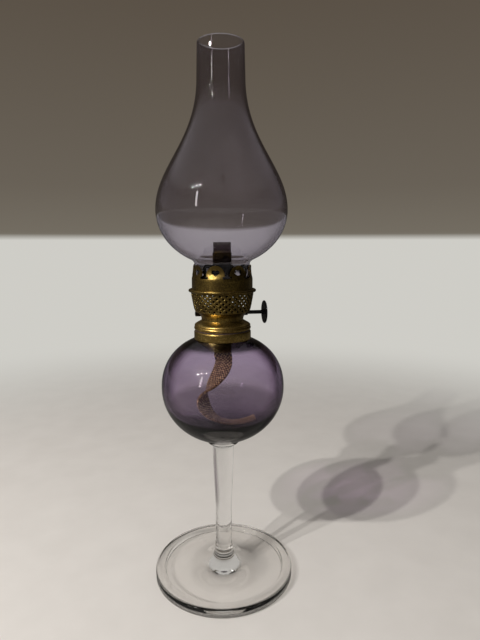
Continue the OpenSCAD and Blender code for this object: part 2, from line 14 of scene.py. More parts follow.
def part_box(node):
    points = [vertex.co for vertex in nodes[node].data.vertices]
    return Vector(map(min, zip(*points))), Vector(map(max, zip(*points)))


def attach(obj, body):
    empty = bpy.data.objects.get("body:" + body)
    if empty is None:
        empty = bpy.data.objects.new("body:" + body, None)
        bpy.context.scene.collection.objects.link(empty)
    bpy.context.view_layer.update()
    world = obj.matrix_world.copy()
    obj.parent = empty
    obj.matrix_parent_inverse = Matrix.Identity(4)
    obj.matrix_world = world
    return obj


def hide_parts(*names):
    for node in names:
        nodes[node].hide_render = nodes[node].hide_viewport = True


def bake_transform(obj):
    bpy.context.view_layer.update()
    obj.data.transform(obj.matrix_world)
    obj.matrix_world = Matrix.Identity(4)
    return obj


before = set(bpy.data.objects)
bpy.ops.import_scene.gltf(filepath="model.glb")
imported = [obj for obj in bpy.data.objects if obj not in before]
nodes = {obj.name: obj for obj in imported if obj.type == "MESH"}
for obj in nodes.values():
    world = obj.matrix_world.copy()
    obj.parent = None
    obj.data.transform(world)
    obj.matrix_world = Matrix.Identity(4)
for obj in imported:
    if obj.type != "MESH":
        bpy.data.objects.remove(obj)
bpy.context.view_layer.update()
mm = 0.001

# %% [markdown]
# Most of the lamp is round, so a few numbers place it all: how high each piece
# starts and ends, and how far it reaches from the axis. They are read from the
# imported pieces, so that the new surfaces sit where the solid ones do.

# %% Heights and reaches
def low_of(node):
    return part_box(node)[0].z


def high_of(node):
    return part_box(node)[1].z


def reach_of(node):
    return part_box(node)[1].y


foot_reach = reach_of("foot")
mound_top = high_of("foot")
merese_low = low_of("merese")
globe_low = low_of("font")
globe_reach = reach_of("font")
collar_low = high_of("font") - 4.6 * mm
collar_top = high_of("collar")
washer_top = high_of("burner_gasket")
waist_z = low_of("air_basket")
basket_top = high_of("air_basket")
ring_top = high_of("gallery_ring")
crown_top = high_of("gallery_crown")
seat_top = high_of("diffuser")
mouth_top = high_of("chimney")
print("waist, basket top and seat in mm:", [round(z / mm, 1) for z in (waist_z, basket_top, seat_top)])

# %% [markdown]
# A glassblower and a metal spinner both make round shapes by turning. Blender's
# spin operator does the same: half a section, drawn as a line of points, is carried
# round the axis. Smooth curves in the section come from short formulas, each an
# arc, an oval or a curve with two handles.

# %% Curves for the sections
def curve(start, handle_a, handle_b, end, count):
    points = []
    for i in range(count + 1):
        t = i / count
        s = 1 - t
        weights = (s**3, 3 * s * s * t, 3 * s * t * t, t**3)
        corners = (start, handle_a, handle_b, end)
        points.append(tuple(sum(w * c[k] for w, c in zip(weights, corners)) for k in (0, 1)))
    return points


def arc(middle, radius, start_deg, end_deg, count):
    points = []
    for i in range(count + 1):
        a = math.radians(start_deg + (end_deg - start_deg) * i / count)
        points.append((middle[0] + radius * math.cos(a), middle[1] + radius * math.sin(a)))
    return points


def quarter(middle_z, reach, height, fullness, start_deg, end_deg, count):
    points = []
    for i in range(count + 1):
        a = math.radians(start_deg + (end_deg - start_deg) * i / count)
        across = max(math.cos(a), 0) ** (2 / fullness)
        up = max(math.sin(a), 0) ** (2 / fullness)
        points.append((reach * across, middle_z + height * up))
    return points


def quarter_angle(distance, reach, fullness):
    return math.degrees(math.acos((distance / reach) ** (fullness / 2)))


def moved_in(points, distance):
    moved = []
    for i, point in enumerate(points):
        ahead = Vector(points[min(i + 1, len(points) - 1)])
        behind = Vector(points[max(i - 1, 0)])
        along = (ahead - behind).normalized()
        moved.append((point[0] - distance * along.y, point[1] + distance * along.x))
    return moved


# %% Turned pieces
TURN_STEPS = 160


def new_piece(name, bm, smooth_deg=35):
    mesh = bpy.data.meshes.new(name)
    bm.to_mesh(mesh)
    bm.free()
    piece = bpy.data.objects.new(name, mesh)
    bpy.context.scene.collection.objects.link(piece)
    mesh.polygons.foreach_set("use_smooth", [True] * len(mesh.polygons))
    mesh.set_sharp_from_angle(angle=math.radians(smooth_deg))
    return piece


def turn_section(bm, section, closed=True, steps=TURN_STEPS):
    corners = [bm.verts.new((x, 0, z)) for x, z in section]
    pairs = list(zip(corners, corners[1:]))
    if closed:
        pairs.append((corners[-1], corners[0]))
    lines = [bm.edges.new(pair) for pair in pairs if pair[0].co.x > 0 or pair[1].co.x > 0]
    bmesh.ops.spin(bm, geom=corners + lines, cent=(0, 0, 0), axis=(0, 0, 1),
                   angle=2 * math.pi, steps=steps, use_merge=True)
    bmesh.ops.remove_doubles(bm, verts=bm.verts, dist=1e-7)
    bmesh.ops.recalc_face_normals(bm, faces=bm.faces)


def turned(name, section, steps=TURN_STEPS, smooth_deg=35):
    bm = bmesh.new()
    turn_section(bm, section, steps=steps)
    return new_piece(name, bm, smooth_deg)


def dress(piece, material, body, slot, *replaced):
    piece.data.materials.clear()
    piece.data.materials.append(material)
    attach(piece, body)
    if replaced:
        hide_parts(*replaced)
    return piece


# %% [markdown]
# Every finish is built from the same few steps: a shader, a pattern on the piece's
# own coordinates, a ramp that turns the pattern into colours, and a bump that lets
# it catch the light. The helper below adds a node and sets its values.

# %% Nodes for the finishes
def new_finish(name):
    material = bpy.data.materials.new(name)
    material.use_nodes = True
    material.node_tree.nodes.clear()
    return material


def add_node(material, kind, inputs=None, **settings):
    node = material.node_tree.nodes.new(kind)
    for key, value in settings.items():
        setattr(node, key, value)
    for key, value in (inputs or {}).items():
        if isinstance(value, bpy.types.NodeSocket):
            material.node_tree.links.new(value, node.inputs[key])
        else:
            node.inputs[key].default_value = value
    return node


def colour_ramp(material, factor, stops):
    ramp = add_node(material, "ShaderNodeValToRGB", {"Fac": factor})
    bands = ramp.color_ramp.elements
    bands[0].position, bands[0].color = stops[0][0], (*stops[0][1], 1)
    bands[1].position, bands[1].color = stops[-1][0], (*stops[-1][1], 1)
    for position, colour in stops[1:-1]:
        band = bands.new(position)
        band.color = (*colour, 1)
    return ramp.outputs["Color"]


def spread(material, factor, low, high):
    ranged = add_node(material, "ShaderNodeMapRange", {"Value": factor, "To Min": low, "To Max": high})
    return ranged.outputs["Result"]


def own_place(material):
    return add_node(material, "ShaderNodeTexCoord").outputs["Object"]


def noise(material, place, scale, detail=3.0, rough=0.5):
    values = {"Vector": place, "Scale": scale, "Detail": detail, "Roughness": rough}
    return add_node(material, "ShaderNodeTexNoise", values).outputs["Fac"]


def bump(material, height, strength, distance):
    values = {"Height": height, "Strength": strength, "Distance": distance}
    return add_node(material, "ShaderNodeBump", values).outputs["Normal"]


def finish_off(material, surface, volume=None):
    inputs = {"Surface": surface}
    if volume is not None:
        inputs["Volume"] = volume
    add_node(material, "ShaderNodeOutputMaterial", inputs)
    return material


# %% [markdown]
# Glass is a skin that bends light and a body that swallows some of it, by an amount
# set per metre. The skin's colour carries painted shade: it darkens where the eye
# meets it at a slant, as a bottle shows dark outlines against a pale wall, and by
# height it has painted dark bands under the collar, at the chimney's foot and where
# the stem's button meets the globe. By height the globe is also painted darker
# towards its bottom, and the chimney a little darker towards its mouth. Light on its
# way to the table passes straight through, because a real lamp's shadow is a light
# one, and how much passes depends on slant and height in the same way: a flat plate
# lets nearly all of it through, while the round stem scatters it. A slow noise bends
# the skin a little, because blown glass is never quite true.

# %% Glass
def times(material, one, other):
    product = add_node(material, "ShaderNodeMix", {"Factor": 1.0}, data_type="RGBA", blend_type="MULTIPLY")
    material.node_tree.links.new(one, product.inputs[6])
    material.node_tree.links.new(other, product.inputs[7])
    return product.outputs[2]


def glass_finish(name, edges, painted_shade_heights, body, density, shadow, shadow_edge, shade_heights, wave):
    material = new_finish(name)
    place = own_place(material)
    slow = noise(material, place, 45.0, 1.0)
    normal = bump(material, slow, wave, 0.4 * mm)
    slant = add_node(material, "ShaderNodeLayerWeight", {"Blend": 0.5}).outputs["Facing"]
    # Painted shade: the skin's colour darkens at its outlines, where the eye meets it at a slant.
    skin = colour_ramp(material, slant, [(0.0, (1.0, 1.0, 1.0))] + edges)
    low, high = painted_shade_heights[0][0], painted_shade_heights[-1][0]
    up = add_node(material, "ShaderNodeMapRange", {
        "Value": add_node(material, "ShaderNodeSeparateXYZ", {"Vector": place}).outputs["Z"],
        "From Min": low, "From Max": high}).outputs["Result"]

    def by_height(shares):
        stops = [((z - low) / (high - low), (share, share, share)) for z, share in shares]
        return colour_ramp(material, up, stops)

    # Painted shade by height: the skin's colour is multiplied by the darker bands listed for each glass.
    shader = add_node(material, "ShaderNodeBsdfPrincipled", {
        "Base Color": times(material, skin, by_height(painted_shade_heights)), "Roughness": 0.0, "IOR": 1.5,
        "Transmission Weight": 1.0, "Normal": normal})
    lets_through = colour_ramp(material, slant, [(0.0, shadow), (0.3, shadow), (0.85, shadow_edge)])
    clear = add_node(material, "ShaderNodeBsdfTransparent", {
        "Color": times(material, lets_through, by_height(shade_heights))})
    path = add_node(material, "ShaderNodeLightPath")
    straight = add_node(material, "ShaderNodeMath", {
        0: path.outputs["Is Shadow Ray"], 1: path.outputs["Is Diffuse Ray"]}, operation="MAXIMUM")
    mixed = add_node(material, "ShaderNodeMixShader", {"Fac": straight.outputs[0]})
    material.node_tree.links.new(shader.outputs[0], mixed.inputs[1])
    material.node_tree.links.new(clear.outputs[0], mixed.inputs[2])
    tint = add_node(material, "ShaderNodeVolumeAbsorption", {"Color": (*body, 1), "Density": density})
    return finish_off(material, mixed.outputs[0], tint.outputs[0])


# Painted shade: the clear glass's colour darkens at its slanted outlines.
clear_edge_painted_shade = [(0.8, (1.0, 1.0, 1.0)), (0.9, (0.8, 0.81, 0.8)), (0.97, (0.3, 0.31, 0.3))]
# Painted shade: the button's colour turns dark where it meets the globe's bottom.
clear_painted_shade_by_height = [(0.0, 1.0), (globe_low - 0.5 * mm, 1.0), (globe_low, 0.15), (globe_low + 2 * mm, 0.1)]
clear_shade = [(0.0, 1.0), (5.0 * mm, 1.0), (5.6 * mm, 0.88), (mound_top - 3 * mm, 0.88),
               (mound_top, 0.62), (globe_low, 0.62)]
clear_glass = glass_finish("clear_blown_glass", clear_edge_painted_shade, clear_painted_shade_by_height, (0.68, 0.68, 0.66), 12.0,
                           (1.0, 0.99, 0.98), (0.45, 0.45, 0.45), clear_shade, 0.16)
# Painted shade: the violet glass's colour darkens at its slanted outlines.
violet_edge_painted_shade = [(0.4, (1.0, 1.0, 1.0)), (0.52, (0.6, 0.56, 0.6)), (0.66, (0.16, 0.15, 0.16)),
                (0.8, (0.04, 0.04, 0.04))]
# Painted shade: a dark band just under the collar; the globe's colour is also painted darker towards its
# bottom.
violet_painted_shade_by_height = [(globe_low, 0.02), (globe_low + 8 * mm, 0.14), (globe_low + 16 * mm, 0.42),
                  (globe_low + 27 * mm, 0.61), (globe_low + 32 * mm, 1.0), (collar_low - 6 * mm, 1.0),
                  (collar_low - 4 * mm, 0.04), (collar_low - 2 * mm, 0.04), (collar_low, 0.2)]
violet_shade = [(globe_low, 0.8), (globe_low + 12 * mm, 1.0), (collar_low, 1.0)]
violet_glass = glass_finish("violet_glass", violet_edge_painted_shade, violet_painted_shade_by_height, (0.49, 0.34, 0.57), 240.0,
                            (0.92, 0.89, 0.91), (0.6, 0.58, 0.59), violet_shade, 0.1)
# Painted shade: the smoky glass's colour darkens at its slanted outlines.
smoky_edge_painted_shade = [(0.6, (1.0, 1.0, 1.0)), (0.97, (0.3, 0.29, 0.3))]
# Painted shade: a dark band in the chimney's colour just above its foot; higher up the colour darkens a
# little towards the mouth.
smoky_painted_shade_by_height = [(seat_top, 1.0), (seat_top + 7 * mm, 1.0), (seat_top + 10 * mm, 0.35),
                 (seat_top + 13 * mm, 0.35), (seat_top + 16 * mm, 1.0), (seat_top + 60 * mm, 0.94),
                 (mouth_top, 0.86)]
smoky_shade = [(seat_top, 1.0), (mouth_top, 1.0)]
smoky_glass = glass_finish("smoky_glass", smoky_edge_painted_shade, smoky_painted_shade_by_height, (0.6, 0.56, 0.64), 600.0,
                           (0.93, 0.92, 0.93), (0.6, 0.58, 0.59), smoky_shade, 0.1)
print("glass finishes:", clear_glass.name, violet_glass.name, smoky_glass.name)

# %% [markdown]
# The brass is old. Collar and base are golden where hands and cloths have kept them
# bright, the basket and the crown that sit nearer the flame are tarnished to olive
# and brown, and the tube and plate inside are black with soot. Two noises of
# different size mix the colours, the dull places are rougher, and fine rings from
# the spinning lathe run round every piece.

# %% Brass
def brass_finish(name, bright, middle, dark, rough_low, rough_high, ring_strength):
    material = new_finish(name)
    place = own_place(material)
    cloud = noise(material, place, 90.0, 5.0, 0.6)
    speck = noise(material, place, 900.0, 3.0, 0.6)
    mixed = add_node(material, "ShaderNodeMath", {0: cloud, 1: speck}, operation="MULTIPLY_ADD")
    mixed.inputs[1].default_value = 0.75
    material.node_tree.links.new(cloud, mixed.inputs[0])
    share = add_node(material, "ShaderNodeMath", {0: speck, 1: 0.25}, operation="MULTIPLY")
    material.node_tree.links.new(share.outputs[0], mixed.inputs[2])
    tone = mixed.outputs[0]
    colour = colour_ramp(material, tone, [(0.3, dark), (0.46, middle), (0.62, bright)])
    rings = add_node(material, "ShaderNodeTexWave", {"Vector": place, "Scale": 900.0, "Distortion": 1.5,
                                                     "Detail": 2.0}, bands_direction="Z")
    relief = bump(material, rings.outputs["Fac"], ring_strength, 0.05 * mm)
    shader = add_node(material, "ShaderNodeBsdfPrincipled", {
        "Base Color": colour, "Metallic": 1.0, "Roughness": spread(material, tone, rough_high, rough_low),
        "Normal": relief})
    return finish_off(material, shader.outputs[0])


brass = brass_finish("aged_brass", (0.85, 0.63, 0.24), (0.64, 0.45, 0.14), (0.32, 0.21, 0.06), 0.2, 0.4, 0.08)
old_brass = brass_finish("tarnished_brass", (0.4, 0.29, 0.09), (0.27, 0.185, 0.05), (0.12, 0.08, 0.025),
                         0.24, 0.45, 0.08)
dull_brass = brass_finish("sooty_brass", (0.05, 0.035, 0.022), (0.026, 0.018, 0.012), (0.01, 0.008, 0.007),
                          0.4, 0.65, 0.05)

# %% [markdown]
# The spindle and its knob are blackened steel, the small wheels inside are bare
# steel, the washer is oiled leather, and plaster holds the collar on the neck.

# %% Steel, leather and plaster
def plain_finish(name, light, dark, metallic, rough_low, rough_high, grain, strength):
    material = new_finish(name)
    place = own_place(material)
    cloud = noise(material, place, grain, 6.0, 0.65)
    colour = colour_ramp(material, cloud, [(0.35, dark), (0.65, light)])
    shader = add_node(material, "ShaderNodeBsdfPrincipled", {
        "Base Color": colour, "Metallic": metallic,
        "Roughness": spread(material, cloud, rough_low, rough_high),
        "Normal": bump(material, cloud, strength, 0.1 * mm)})
    return finish_off(material, shader.outputs[0])


black_steel = plain_finish("black_steel", (0.022, 0.023, 0.024), (0.008, 0.008, 0.009), 0.3, 0.4, 0.65,
                           700.0, 0.15)
bare_steel = plain_finish("bare_steel", (0.5, 0.49, 0.47), (0.28, 0.26, 0.24), 1.0, 0.3, 0.5, 900.0, 0.15)
washer_leather = plain_finish("washer_leather", (0.07, 0.04, 0.025), (0.02, 0.012, 0.01), 0.0, 0.5, 0.8,
                              1200.0, 0.6)
plaster = plain_finish("plaster", (0.8, 0.77, 0.7), (0.62, 0.58, 0.5), 0.0, 0.7, 0.9, 800.0, 0.4)

# %% [markdown]
# The wick is a flat cotton webbing. On the strip's own map, U runs across it and V
# along it, in millimetres. Two crossed waves give the weave its dark pockets and
# its threads that stand proud, and the top end is charred.

# %% Woven cotton
WICK_PITCH = 1.9
WICK_ACROSS = 2.5


def cotton_finish():
    material = new_finish("wick_cotton")
    strip = add_node(material, "ShaderNodeUVMap", uv_map="weave").outputs["UV"]
    apart = add_node(material, "ShaderNodeSeparateXYZ", {"Vector": strip})

    def wave(value, pitch, shift):
        scaled = add_node(material, "ShaderNodeMath", {0: value, 1: 2 * math.pi / pitch, 2: shift},
                          operation="MULTIPLY_ADD")
        return add_node(material, "ShaderNodeMath", {0: scaled.outputs[0]}, operation="SINE").outputs[0]

    across = wave(apart.outputs["X"], WICK_ACROSS, 0.0)
    along = wave(apart.outputs["Y"], WICK_PITCH, 0.0)
    crossed = add_node(material, "ShaderNodeMath", {0: across, 1: along}, operation="MULTIPLY").outputs[0]
    place = own_place(material)
    fibre = noise(material, place, 700.0, 5.0, 0.75)
    shaded = add_node(material, "ShaderNodeMath", {0: crossed, 1: 0.16, 2: fibre},
                      operation="MULTIPLY_ADD").outputs[0]
    colour = colour_ramp(material, shaded, [
        (0.36, (0.015, 0.008, 0.003)), (0.5, (0.14, 0.09, 0.03)), (0.68, (0.6, 0.46, 0.2))])
    char_z = add_node(material, "ShaderNodeSeparateXYZ", {"Vector": place}).outputs["Z"]
    char = add_node(material, "ShaderNodeMapRange", {
        "Value": char_z, "From Min": high_of("wick_tube") - 6 * mm,
        "From Max": high_of("wick_tube") - 2 * mm})
    burnt = add_node(material, "ShaderNodeMix", {"Factor": char.outputs["Result"]}, data_type="RGBA")
    material.node_tree.links.new(colour, burnt.inputs[6])
    burnt.inputs[7].default_value = (0.03, 0.019, 0.015, 1)
    shader = add_node(material, "ShaderNodeBsdfPrincipled", {
        "Base Color": burnt.outputs[2], "Roughness": 0.9,
        "Normal": bump(material, shaded, 0.8, 0.3 * mm)})
    shader.inputs["Sheen Weight"].default_value = 0.2
    return finish_off(material, shader.outputs[0])


cotton = cotton_finish()

# %% [markdown]
# The foot, the stem and the button under the globe were joined hot, so here they
# are one piece of clear glass. Its section starts on the axis under the foot, runs
# out to the rounded rim, back over the plate, up the mound and the waisted stem,
# and ends against the round bottom of the globe.

# %% Clear glass foot, stem and button
EDGE = 1.7 * mm
RIM_HIGH = 7.4 * mm
RIM_WIDE = 7.6 * mm
PLATE_HIGH = 4.8 * mm
HOLLOW = 1.2 * mm
REST_WIDE = 6.0 * mm
MOUND_REACH = 37.0 * mm
STEM_LOW_R = 8.0 * mm
STEM_WAIST_R = 5.9 * mm
STEM_WAIST_Z = mound_top + 33.0 * mm
STEM_TOP_R = 7.7 * mm
BUTTON_R = reach_of("merese")
BUTTON_HIGH = 4.2 * mm
globe_tall = 40.5 * mm
globe_mid = globe_low + globe_tall


def foot_section():
    rest_out = foot_reach - EDGE
    rim_in = foot_reach - RIM_WIDE
    inner_edge = (RIM_HIGH - PLATE_HIGH) * 0.6
    rest_in = rest_out - REST_WIDE
    points = curve((0.0, HOLLOW), (rest_in * 0.5, HOLLOW), (rest_in * 0.8, 0.0), (rest_in, 0.0), 30)
    points += arc((rest_out, EDGE), EDGE, -90, 0, 12)
    points += arc((rest_out, RIM_HIGH - EDGE), EDGE, 0, 90, 12)
    points += arc((rim_in + EDGE, RIM_HIGH - inner_edge), inner_edge, 90, 160, 10)
    fillet = 0.8 * mm
    points += arc((rim_in - fillet, PLATE_HIGH + fillet), fillet, 0, -90, 8)
    points += curve((MOUND_REACH, PLATE_HIGH), (MOUND_REACH * 0.6, PLATE_HIGH),
                    (STEM_LOW_R + 5 * mm, mound_top - (mound_top - PLATE_HIGH) * 0.35),
                    (STEM_LOW_R, mound_top), 30)
    return points


def stem_section():
    waist = (STEM_WAIST_R, STEM_WAIST_Z)
    lower = curve((STEM_LOW_R, mound_top), (STEM_WAIST_R + 1 * mm, mound_top + 2.2 * mm),
                  (STEM_WAIST_R, mound_top + 8.25 * mm), waist, 30)
    upper = curve(waist, (STEM_WAIST_R, STEM_WAIST_Z + 14 * mm),
                  (STEM_TOP_R - 0.1 * mm, merese_low - 22 * mm), (STEM_TOP_R, merese_low), 30)
    return lower[1:] + upper[1:]


def button_section(gap=0.02 * mm):
    edge = 1.2 * mm
    middle = (BUTTON_R - edge, merese_low + BUTTON_HIGH * 0.8)
    slope = math.radians(50)
    flare_end = (middle[0] + edge * math.cos(slope), middle[1] - edge * math.sin(slope))
    points = curve((STEM_TOP_R, merese_low), (STEM_TOP_R + 0.5 * mm, merese_low + 0.8 * mm),
                   (flare_end[0] - 1.5 * mm * math.sin(slope), flare_end[1] - 1.5 * mm * math.cos(slope)),
                   flare_end, 12)[1:]
    points += arc(middle, edge, -40, 60, 10)
    seat_r = BUTTON_R - 0.9 * mm
    for i in range(17):
        r = seat_r * (1 - i / 16)
        points.append((r, globe_mid - globe_tall * math.sqrt(1 - (r / globe_reach) ** 2) - gap))
    return points


stand = turned("clear_glass_stand", foot_section() + stem_section() + button_section(), smooth_deg=50)
dress(stand, clear_glass, "lamp_base", "clear_glass", "foot", "stem", "merese")

# %% [markdown]
# The globe is blown from violet glass and then fused to the button. Its bottom is
# very thick. The section runs down the outside from the neck, and back up the
# inside.

# %% Violet globe
GLOBE_FULLNESS = 2.2
CAVITY_FULLNESS = 2.4
GLOBE_UP = 38.3 * mm
GLOBE_WALL = 3.0 * mm
GLOBE_FLOOR = 10.0 * mm
NECK_R = 18.2 * mm
NECK_WALL = 1.6 * mm
neck_top = high_of("font")
cavity_reach = globe_reach - GLOBE_WALL


def globe_section():
    neck_in = NECK_R - NECK_WALL
    outside = quarter(globe_mid, globe_reach, -globe_tall, 2, 90, 0, 60)
    outside += quarter(globe_mid, globe_reach, GLOBE_UP, GLOBE_FULLNESS, 0,
                       quarter_angle(NECK_R, globe_reach, GLOBE_FULLNESS), 48)[1:]
    inside = quarter(globe_mid, cavity_reach, -(globe_tall - GLOBE_FLOOR), CAVITY_FULLNESS, 90, 0, 60)
    inside += quarter(globe_mid, cavity_reach, GLOBE_UP - GLOBE_WALL, GLOBE_FULLNESS, 0,
                      quarter_angle(neck_in, cavity_reach, GLOBE_FULLNESS), 48)[1:]
    lip = [(NECK_R, neck_top), (neck_in, neck_top)]
    return outside + lip + inside[::-1]


globe = turned("violet_globe", globe_section(), smooth_deg=60)
dress(globe, violet_glass, "lamp_base", "amethyst_glass", "font")

# %% [markdown]
# The chimney is thin smoky glass. Its foot stands inside the crown, its bulb is an
# oval below and a long curve above, and its mouth was melted round in a flame. The
# wall is made by moving the outer line inwards.

# %% Chimney
BULB_R = 44.9 * mm
BULB_Z = seat_top + 50.5 * mm
BULB_LOW = 37.6 * mm
BULB_UP = 86.0 * mm
FITTER_R = 19.25 * mm
FLUE_R = 16.1 * mm
MOUTH_R = 15.6 * mm
CHIMNEY_WALL = 1.5 * mm
flue_z = BULB_Z + BULB_UP


def chimney_line():
    lowest = quarter_angle(FITTER_R + 3 * mm, BULB_R, 2)
    bulb = quarter(BULB_Z, BULB_R, -BULB_LOW, 2, lowest, 0, 48)
    corner_deg = math.radians(quarter_angle(FITTER_R, BULB_R, 2))
    corner = Vector((FITTER_R, BULB_Z - BULB_LOW * math.sin(corner_deg)))
    start = Vector(bulb[0])
    points = [(FITTER_R, seat_top)]
    points += curve((FITTER_R, corner.y - 2 * mm), (FITTER_R, corner.y - 0.7 * mm),
                    tuple(corner + (start - corner) * 0.3), bulb[0], 10)
    points += bulb[1:]
    points += curve((BULB_R, BULB_Z), (BULB_R, BULB_Z + BULB_UP * 0.33),
                    (FLUE_R, flue_z - BULB_UP * 0.476), (FLUE_R, flue_z), 64)[1:]
    points.append((MOUTH_R, mouth_top - CHIMNEY_WALL / 2))
    return points


chimney_wall = chimney_line()
mouth = arc((MOUTH_R - CHIMNEY_WALL / 2, mouth_top - CHIMNEY_WALL / 2), CHIMNEY_WALL / 2, 15, 165, 8)
chimney = turned("smoky_chimney", chimney_wall + mouth + moved_in(chimney_wall, CHIMNEY_WALL)[::-1],
                 smooth_deg=60)
dress(chimney, smoky_glass, "chimney", "chimney_glass", "chimney")

# %% [markdown]
# Collar, burner base and ring are spun or pressed from thin brass sheet. Each gets
# a section with true rounded edges, so that the light runs round them in lines.

# %% Collar, burner base and rolled ring
COLLAR_R = reach_of("collar")
COLLAR_BORE = 15.2 * mm
SHEET = 0.5 * mm


def collar_section():
    edge = 0.9 * mm
    low = low_of("collar_cement")
    points = arc((COLLAR_R - 0.25 * mm, low + 0.25 * mm), 0.25 * mm, 180, 360, 6)
    points += arc((COLLAR_R - edge, collar_top - edge), edge, 0, 90, 10)
    points += arc((COLLAR_BORE + 0.3 * mm, collar_top - 0.3 * mm), 0.3 * mm, 90, 180, 5)
    points += [(COLLAR_BORE, low_of("collar")), (COLLAR_BORE + SHEET, low_of("collar")),
               (COLLAR_BORE + SHEET, collar_top - SHEET), (COLLAR_R - SHEET, collar_top - SHEET)]
    return points


collar = turned("brass_collar", collar_section())
dress(collar, brass, "lamp_base", "brass", "collar")

BEAD_R = reach_of("burner_base")
BEAD_HIGH = 2.6 * mm
SHOULDER_R = 19.8 * mm
WAIST_R = 14.7 * mm
LAP_HIGH = 1.4 * mm
SCREW_R = 15.12 * mm
screw_low = low_of("burner_base")
shoulder_z = washer_top + BEAD_HIGH


def base_section():
    bead = (BEAD_R - BEAD_HIGH / 2, washer_top + BEAD_HIGH / 2)
    points = [(SCREW_R, screw_low), (SCREW_R, washer_top)]
    points += arc(bead, BEAD_HIGH / 2, -90, 62, 16)
    points += arc((SHOULDER_R - 0.4 * mm, shoulder_z + 0.45 * mm), 0.4 * mm, -70, 0, 5)
    points += curve((SHOULDER_R, shoulder_z + 0.5 * mm), (SHOULDER_R - 0.2 * mm, shoulder_z + 1.9 * mm),
                    (WAIST_R + 1.4 * mm, waist_z - 1.6 * mm), (WAIST_R, waist_z), 20)
    points += [(WAIST_R - SHEET, waist_z), (WAIST_R - SHEET, waist_z + LAP_HIGH),
               (WAIST_R - 2 * SHEET, waist_z + LAP_HIGH), (WAIST_R - 2 * SHEET, waist_z - 0.2 * mm),
               (SHOULDER_R - 1.6 * mm, shoulder_z + 1 * mm), (SHOULDER_R - 1 * mm, shoulder_z - 0.4 * mm),
               (SHOULDER_R - 1 * mm, washer_top + SHEET), (SCREW_R - SHEET, washer_top + SHEET),
               (SCREW_R - SHEET, screw_low)]
    return points


base = turned("burner_base_shell", base_section())
dress(base, brass, "burner", "brass", "burner_base")

RING_R = reach_of("gallery_ring")
BAND_IN = 20.75 * mm


def ring_section():
    roll = (ring_top - basket_top) / 2
    points = [(BAND_IN, basket_top)]
    points += arc((RING_R - roll, basket_top + roll), roll, -90, 90, 20)
    points += [(BAND_IN, ring_top)]
    return points


ring = turned("rolled_ring", ring_section())
dress(ring, old_brass, "burner", "brass", "gallery_ring")

# %% [markdown]
# The basket is one sheet, pierced in rows with each row half a step round, and
# embossed so that a raised diamond runs round every hole. One diamond with a round
# hole is made flat, copied into rows, cut off straight at both ends, and then bent
# round the burner. Solidify gives the sheet its thickness.

# %% Pierced basket
AIR_COUNT = 30
AIR_ROWS = 7
HOLE_R = 0.75 * mm
ROW_START = 1.6 * mm
ROW_STEP = 1.8 * mm
TURN_HIGH = 6.0 * mm
TURN_R = 18.7 * mm
BASKET_R = reach_of("air_basket")
turn_z = waist_z + TURN_HIGH
FLAT_R = 19.6 * mm
HALF_WIDE = math.pi * FLAT_R / AIR_COUNT
RELIEF = 0.22 * mm

flare_line = curve((WAIST_R, waist_z), (WAIST_R, waist_z + TURN_HIGH * 0.4),
                   (WAIST_R + 1.4 * mm, turn_z - 1.5 * mm), (TURN_R, turn_z), 24)
basket_line = curve((TURN_R, turn_z), (TURN_R + 1 * mm, turn_z + 2.8 * mm),
                    (BASKET_R - 0.9 * mm, basket_top - 5.4 * mm), (BASKET_R, basket_top), 48)


def radius_on(line, z):
    for (r0, z0), (r1, z1) in zip(line, line[1:]):
        if z0 <= z <= z1:
            return r0 + (r1 - r0) * (z - z0) / (z1 - z0)
    return line[0][0] if z < line[0][1] else line[-1][0]


def add_diamond(bm, x, y, pierced):
    hole = bmesh.ops.create_circle(bm, cap_ends=False, segments=16, radius=HOLE_R,
                                   matrix=Matrix.Translation((x, y, 0)))["verts"]
    hole.sort(key=lambda v: math.atan2(v.co.y - y, v.co.x - x) % (2 * math.pi))
    brim, rim = [], []
    for k, vert in enumerate(hole):
        side, step = divmod(k, 4)
        ends = [(HALF_WIDE, 0), (0, ROW_STEP), (-HALF_WIDE, 0), (0, -ROW_STEP), (HALF_WIDE, 0)]
        start, end = Vector(ends[side]), Vector(ends[side + 1])
        outer = start.lerp(end, step / 4)
        rim.append(bm.verts.new((x + outer.x, y + outer.y, RELIEF)))
        inner = (vert.co.xy - Vector((x, y))).lerp(outer, 0.45)
        brim.append(bm.verts.new((x + inner.x, y + inner.y, RELIEF * 0.15)))
    for a, b in ((hole, brim), (brim, rim)):
        for k in range(16):
            n = (k + 1) % 16
            bm.faces.new((a[k], b[k], b[n], a[n]))
    if not pierced:
        bm.faces.new(hole)


def basket_wall():
    bm = bmesh.new()
    for row in range(-1, AIR_ROWS + 1):
        for i in range(AIR_COUNT):
            x = (2 * i + (row % 2)) * HALF_WIDE
            add_diamond(bm, x, ROW_START + row * ROW_STEP, 0 <= row < AIR_ROWS)
    top = basket_top - turn_z
    for place, facing in ((0, -1), (top, 1)):
        bmesh.ops.bisect_plane(bm, geom=bm.verts[:] + bm.edges[:] + bm.faces[:], dist=1e-8,
                               plane_co=(0, place, 0), plane_no=(0, facing, 0), clear_outer=True)
    for vert in bm.verts:
        flat = vert.co.copy()
        angle = flat.x / FLAT_R
        ends = min(1.0, flat.y / ROW_STEP, (top - flat.y) / ROW_STEP)
        radius = radius_on(basket_line, turn_z + flat.y) + flat.z * max(ends, 0) - RELIEF / 2
        vert.co = (radius * math.sin(angle), -radius * math.cos(angle), turn_z + flat.y)
    bmesh.ops.remove_doubles(bm, verts=bm.verts, dist=0.01 * mm)
    bmesh.ops.recalc_face_normals(bm, faces=bm.faces)
    return bm


lattice = new_piece("pierced_basket", basket_wall(), smooth_deg=28)
skin = lattice.modifiers.new("sheet", "SOLIDIFY")
skin.thickness = SHEET
skin.offset = -1
dress(lattice, old_brass, "burner", "brass", "air_basket")

